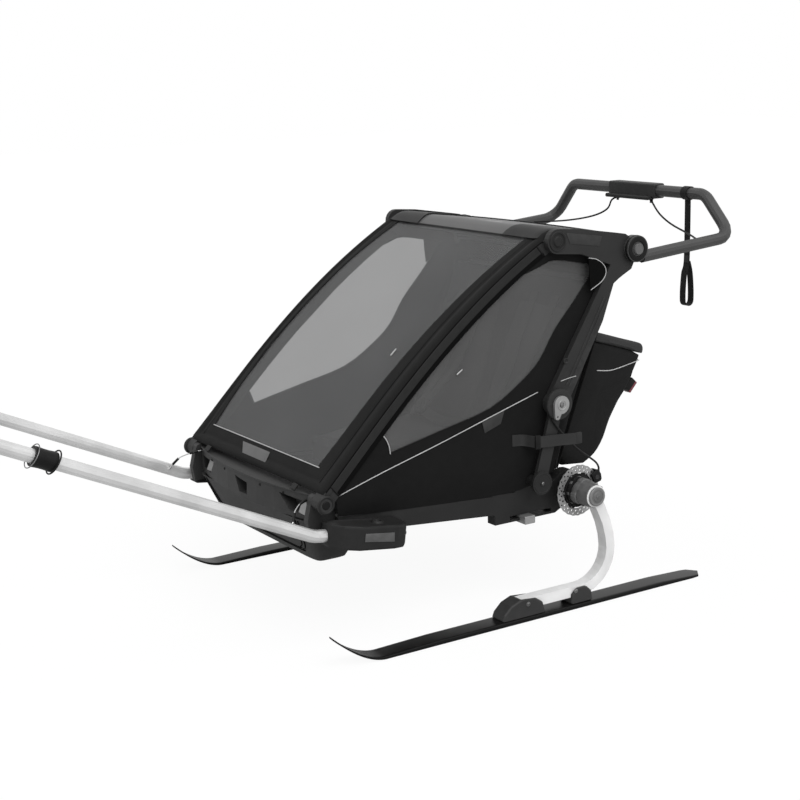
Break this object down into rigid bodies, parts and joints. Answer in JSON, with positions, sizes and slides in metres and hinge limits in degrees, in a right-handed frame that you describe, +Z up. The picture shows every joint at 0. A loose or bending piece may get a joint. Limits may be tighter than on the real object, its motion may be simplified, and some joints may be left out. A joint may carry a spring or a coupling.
{
  "type": "child bike trailer",
  "caption": "Two-seat child trailer with a folding fabric cabin, push bar, rear cargo bag, tow bars and a cross-country ski kit in place of wheels.",
  "frame": {"origin": "on the ground under the middle of the overall length, in the trailer's middle plane", "axes": "+Z up, -Y the way the trailer is towed, +X to the trailer's left side"},
  "size_m": [0.86, 2.6429, 0.9441],
  "materials": {
    "black_plastic": "matt",
    "grey_plastic": "matt",
    "black_fabric": "woven",
    "window_film": "smoky, see-through",
    "black_metal": "black powder coat, satin",
    "silver_metal": "anodised",
    "steel": "ground",
    "cast_grey": "cast, grey",
    "ski_black": "satin",
    "rubber": "matt"
  },
  "bodies": {
    "base": {"base_rail_left": "black_plastic", "base_rail_right": "black_plastic", "floor_pan": "black_plastic", "front_bumper": "grey_plastic", "footwell": "black_plastic", "axle": "black_metal", "brake_caliper_left": "black_metal", "brake_caliper_right": "black_metal", "tow_bracket_left": "black_plastic", "tow_bracket_right": "black_plastic", "tow_bar_rear_left": "silver_metal", "tow_bar_rear_right": "silver_metal", "tow_bar_front_left": "silver_metal", "tow_bar_front_right": "silver_metal", "safety_cable_left": "steel", "safety_cable_right": "steel", "seat_bench": "black_fabric", "back_panel": "black_fabric", "side_panel_left": "black_fabric", "side_panel_right": "black_fabric", "cargo_bag": "black_fabric", "caliper_hose_left": "rubber", "caliper_hose_right": "rubber"},
    "front_frame": {"front_pillar_left": "black_fabric", "front_pillar_right": "black_fabric", "top_crossbar": "black_metal"},
    "front_cover": {"front_cover": "window_film"},
    "upper_frame": {"side_plate_left": "grey_plastic", "side_plate_right": "grey_plastic", "roof_panel": "window_film", "rear_crossbar": "black_metal"},
    "lower_struts": {"lower_strut_left": "grey_plastic", "lower_strut_right": "grey_plastic"},
    "fold_lever_left": {"fold_lever_left": "cast_grey"},
    "fold_lever_right": {"fold_lever_right": "cast_grey"},
    "push_bar": {"push_bar": "black_metal", "brake_housing": "black_plastic", "wrist_strap": "black_fabric", "brake_cable_left": "rubber", "brake_cable_right": "rubber"},
    "brake_lever": {"brake_lever": "black_plastic"},
    "hub_button_left": {"hub_button_left": "cast_grey"},
    "hub_button_right": {"hub_button_right": "cast_grey"},
    "ski_unit_left": {"brake_disc_left": "steel", "claw_hub_left": "cast_grey", "ski_strut_left": "silver_metal", "ski_left": "ski_black", "toe_bracket_left": "black_plastic", "heel_bracket_left": "black_plastic"},
    "ski_unit_right": {"brake_disc_right": "steel", "claw_hub_right": "cast_grey", "ski_strut_right": "silver_metal", "ski_right": "ski_black", "toe_bracket_right": "black_plastic", "heel_bracket_right": "black_plastic"},
    "bag_lid": {"bag_lid": "black_fabric"},
    "tow_lock_button_left": {"tow_lock_button_left": "grey_plastic"},
    "tow_lock_button_right": {"tow_lock_button_right": "grey_plastic"},
    "leaf_slider_left": {"leaf_slider_left": "silver_metal"},
    "leaf_slider_right": {"leaf_slider_right": "silver_metal"}
  },
  "joints": [
    {"name": "frame_fold", "type": "hinge", "parent": "base", "child": "front_frame", "pos_m": [0, 0.1458, 0.341], "axis": [1, 0, 0], "range_deg": [-24, 0], "deforming": ["seat_bench", "back_panel", "side_panel_left", "side_panel_right", "cargo_bag", "bag_lid", "caliper_hose_left", "caliper_hose_right"]},
    {"name": "upper_fold", "type": "hinge", "parent": "front_frame", "child": "upper_frame", "pos_m": [0, 0.76927, 0.85495], "axis": [1, 0, 0], "range_deg": [-44.58, 0]},
    {"name": "lower_strut_fold", "type": "hinge", "parent": "base", "child": "lower_struts", "pos_m": [0, 0.7068, 0.3], "axis": [1, 0, 0], "range_deg": [0, 62.33]},
    {"name": "cover_open", "type": "hinge", "parent": "front_frame", "child": "front_cover", "pos_m": [0, 0.74531, 0.86358], "axis": [1, 0, 0], "range_deg": [-95, 0]},
    {"name": "push_bar_tilt", "type": "hinge", "parent": "upper_frame", "child": "push_bar", "pos_m": [0, 0.99527, 0.81995], "axis": [-1, 0, 0], "range_deg": [-120, 30]},
    {"name": "hub_button_left_press", "type": "slide", "parent": "push_bar", "child": "hub_button_left", "axis": [-1, 0, 0], "range_m": [0, 0.004], "stiffness_N_per_m": 600},
    {"name": "hub_button_right_press", "type": "slide", "parent": "push_bar", "child": "hub_button_right", "axis": [1, 0, 0], "range_m": [0, 0.004], "stiffness_N_per_m": 600},
    {"name": "brake_lever_pull", "type": "hinge", "parent": "push_bar", "child": "brake_lever", "pos_m": [0, 1.28297, 0.90695], "axis": [1, 0, 0], "range_deg": [-20, 0], "stiffness_Nm_per_rad": 3},
    {"name": "fold_lever_left_turn", "type": "hinge", "parent": "lower_struts", "child": "fold_lever_left", "pos_m": [0.3663, 0.7588, 0.48], "axis": [1, 0, 0], "range_deg": [0, 35], "stiffness_Nm_per_rad": 0.6},
    {"name": "fold_lever_right_turn", "type": "hinge", "parent": "lower_struts", "child": "fold_lever_right", "pos_m": [-0.3663, 0.7588, 0.48], "axis": [1, 0, 0], "range_deg": [0, 35], "stiffness_Nm_per_rad": 0.6},
    {"name": "ski_pitch_left", "type": "hinge", "parent": "base", "child": "ski_unit_left", "pos_m": [0.36, 0.8228, 0.26], "axis": [1, 0, 0], "range_deg": [-12, 12]},
    {"name": "ski_pitch_right", "type": "hinge", "parent": "base", "child": "ski_unit_right", "pos_m": [-0.36, 0.8228, 0.26], "axis": [1, 0, 0], "range_deg": [-12, 12]},
    {"name": "bag_lid_open", "type": "hinge", "parent": "base", "child": "bag_lid", "pos_m": [0, 0.9168, 0.6145], "axis": [1, 0, 0], "range_deg": [0, 75]},
    {"name": "tow_lock_left_press", "type": "slide", "parent": "base", "child": "tow_lock_button_left", "axis": [0, -0.9914, 0.1305], "range_m": [0, 0.005], "stiffness_N_per_m": 500},
    {"name": "tow_lock_right_press", "type": "slide", "parent": "base", "child": "tow_lock_button_right", "axis": [0, -0.9914, 0.1305], "range_m": [0, 0.005], "stiffness_N_per_m": 500},
    {"name": "leaf_slider_left_set", "type": "slide", "parent": "base", "child": "leaf_slider_left", "axis": [0, 1, 0], "range_m": [-0.026, 0.06]},
    {"name": "leaf_slider_right_set", "type": "slide", "parent": "base", "child": "leaf_slider_right", "axis": [0, 1, 0], "range_m": [-0.026, 0.06]}
  ],
  "couplings": [
    {"joint": "upper_fold", "follows": "frame_fold", "ratio": 1.857},
    {"joint": "lower_strut_fold", "follows": "frame_fold", "ratio": -2.5965}
  ]
}
